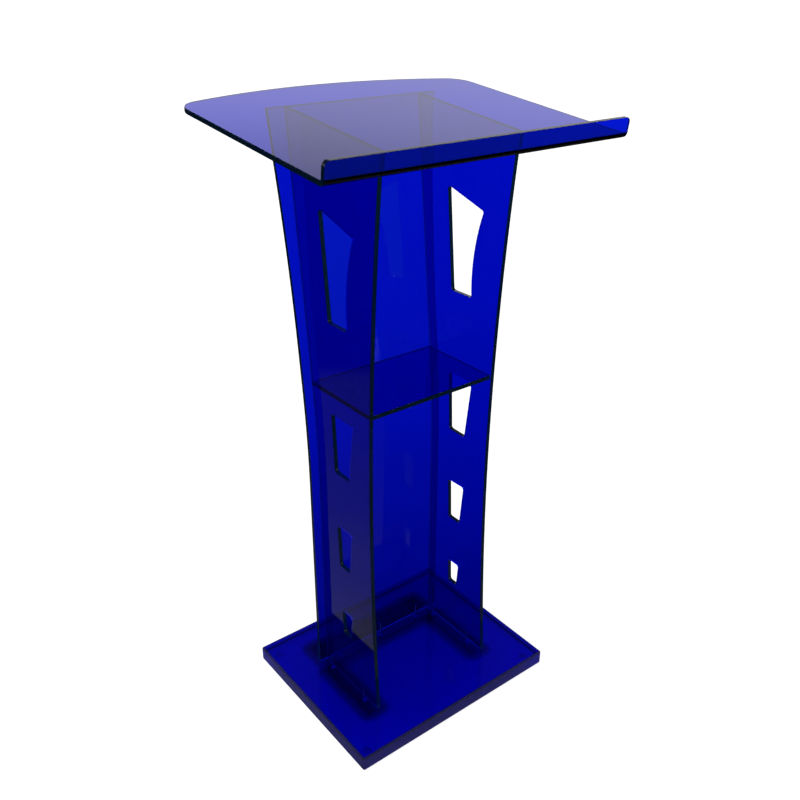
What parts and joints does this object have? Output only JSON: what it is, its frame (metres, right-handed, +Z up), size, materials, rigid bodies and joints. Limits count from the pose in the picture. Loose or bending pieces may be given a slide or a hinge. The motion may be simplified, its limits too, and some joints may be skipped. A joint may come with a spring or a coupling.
{
  "type": "presentation lectern",
  "caption": "Free-standing lectern of tinted clear acrylic sheet: base plate, pierced side panels, curved front panel, shelf and sloped reading desk with a book lip.",
  "frame": {"origin": "on the floor, under the middle of the overall width and depth", "axes": "+Z up, -Y towards the speaker, +Y towards the audience, +X to the speaker's right"},
  "size_m": [0.562, 0.441, 1.1153],
  "materials": {
    "blue_acrylic_sheet": "clear tinted acrylic, polished",
    "blue_acrylic_block": "clear tinted acrylic block, polished faces and flame-polished edges",
    "screw_steel": "zinc plated",
    "foot_rubber": "clear soft bumper pad"
  },
  "bodies": {
    "root": {"base_plate": "blue_acrylic_block", "left_side_panel": "blue_acrylic_sheet", "right_side_panel": "blue_acrylic_sheet", "front_panel": "blue_acrylic_sheet", "shelf": "blue_acrylic_sheet", "reading_desk": "blue_acrylic_sheet", "left_panel_screws": "screw_steel", "right_panel_screws": "screw_steel", "front_panel_screws": "screw_steel", "foot_speaker_left": "foot_rubber", "foot_speaker_right": "foot_rubber", "foot_audience_left": "foot_rubber", "foot_audience_right": "foot_rubber"}
  },
  "joints": []
}
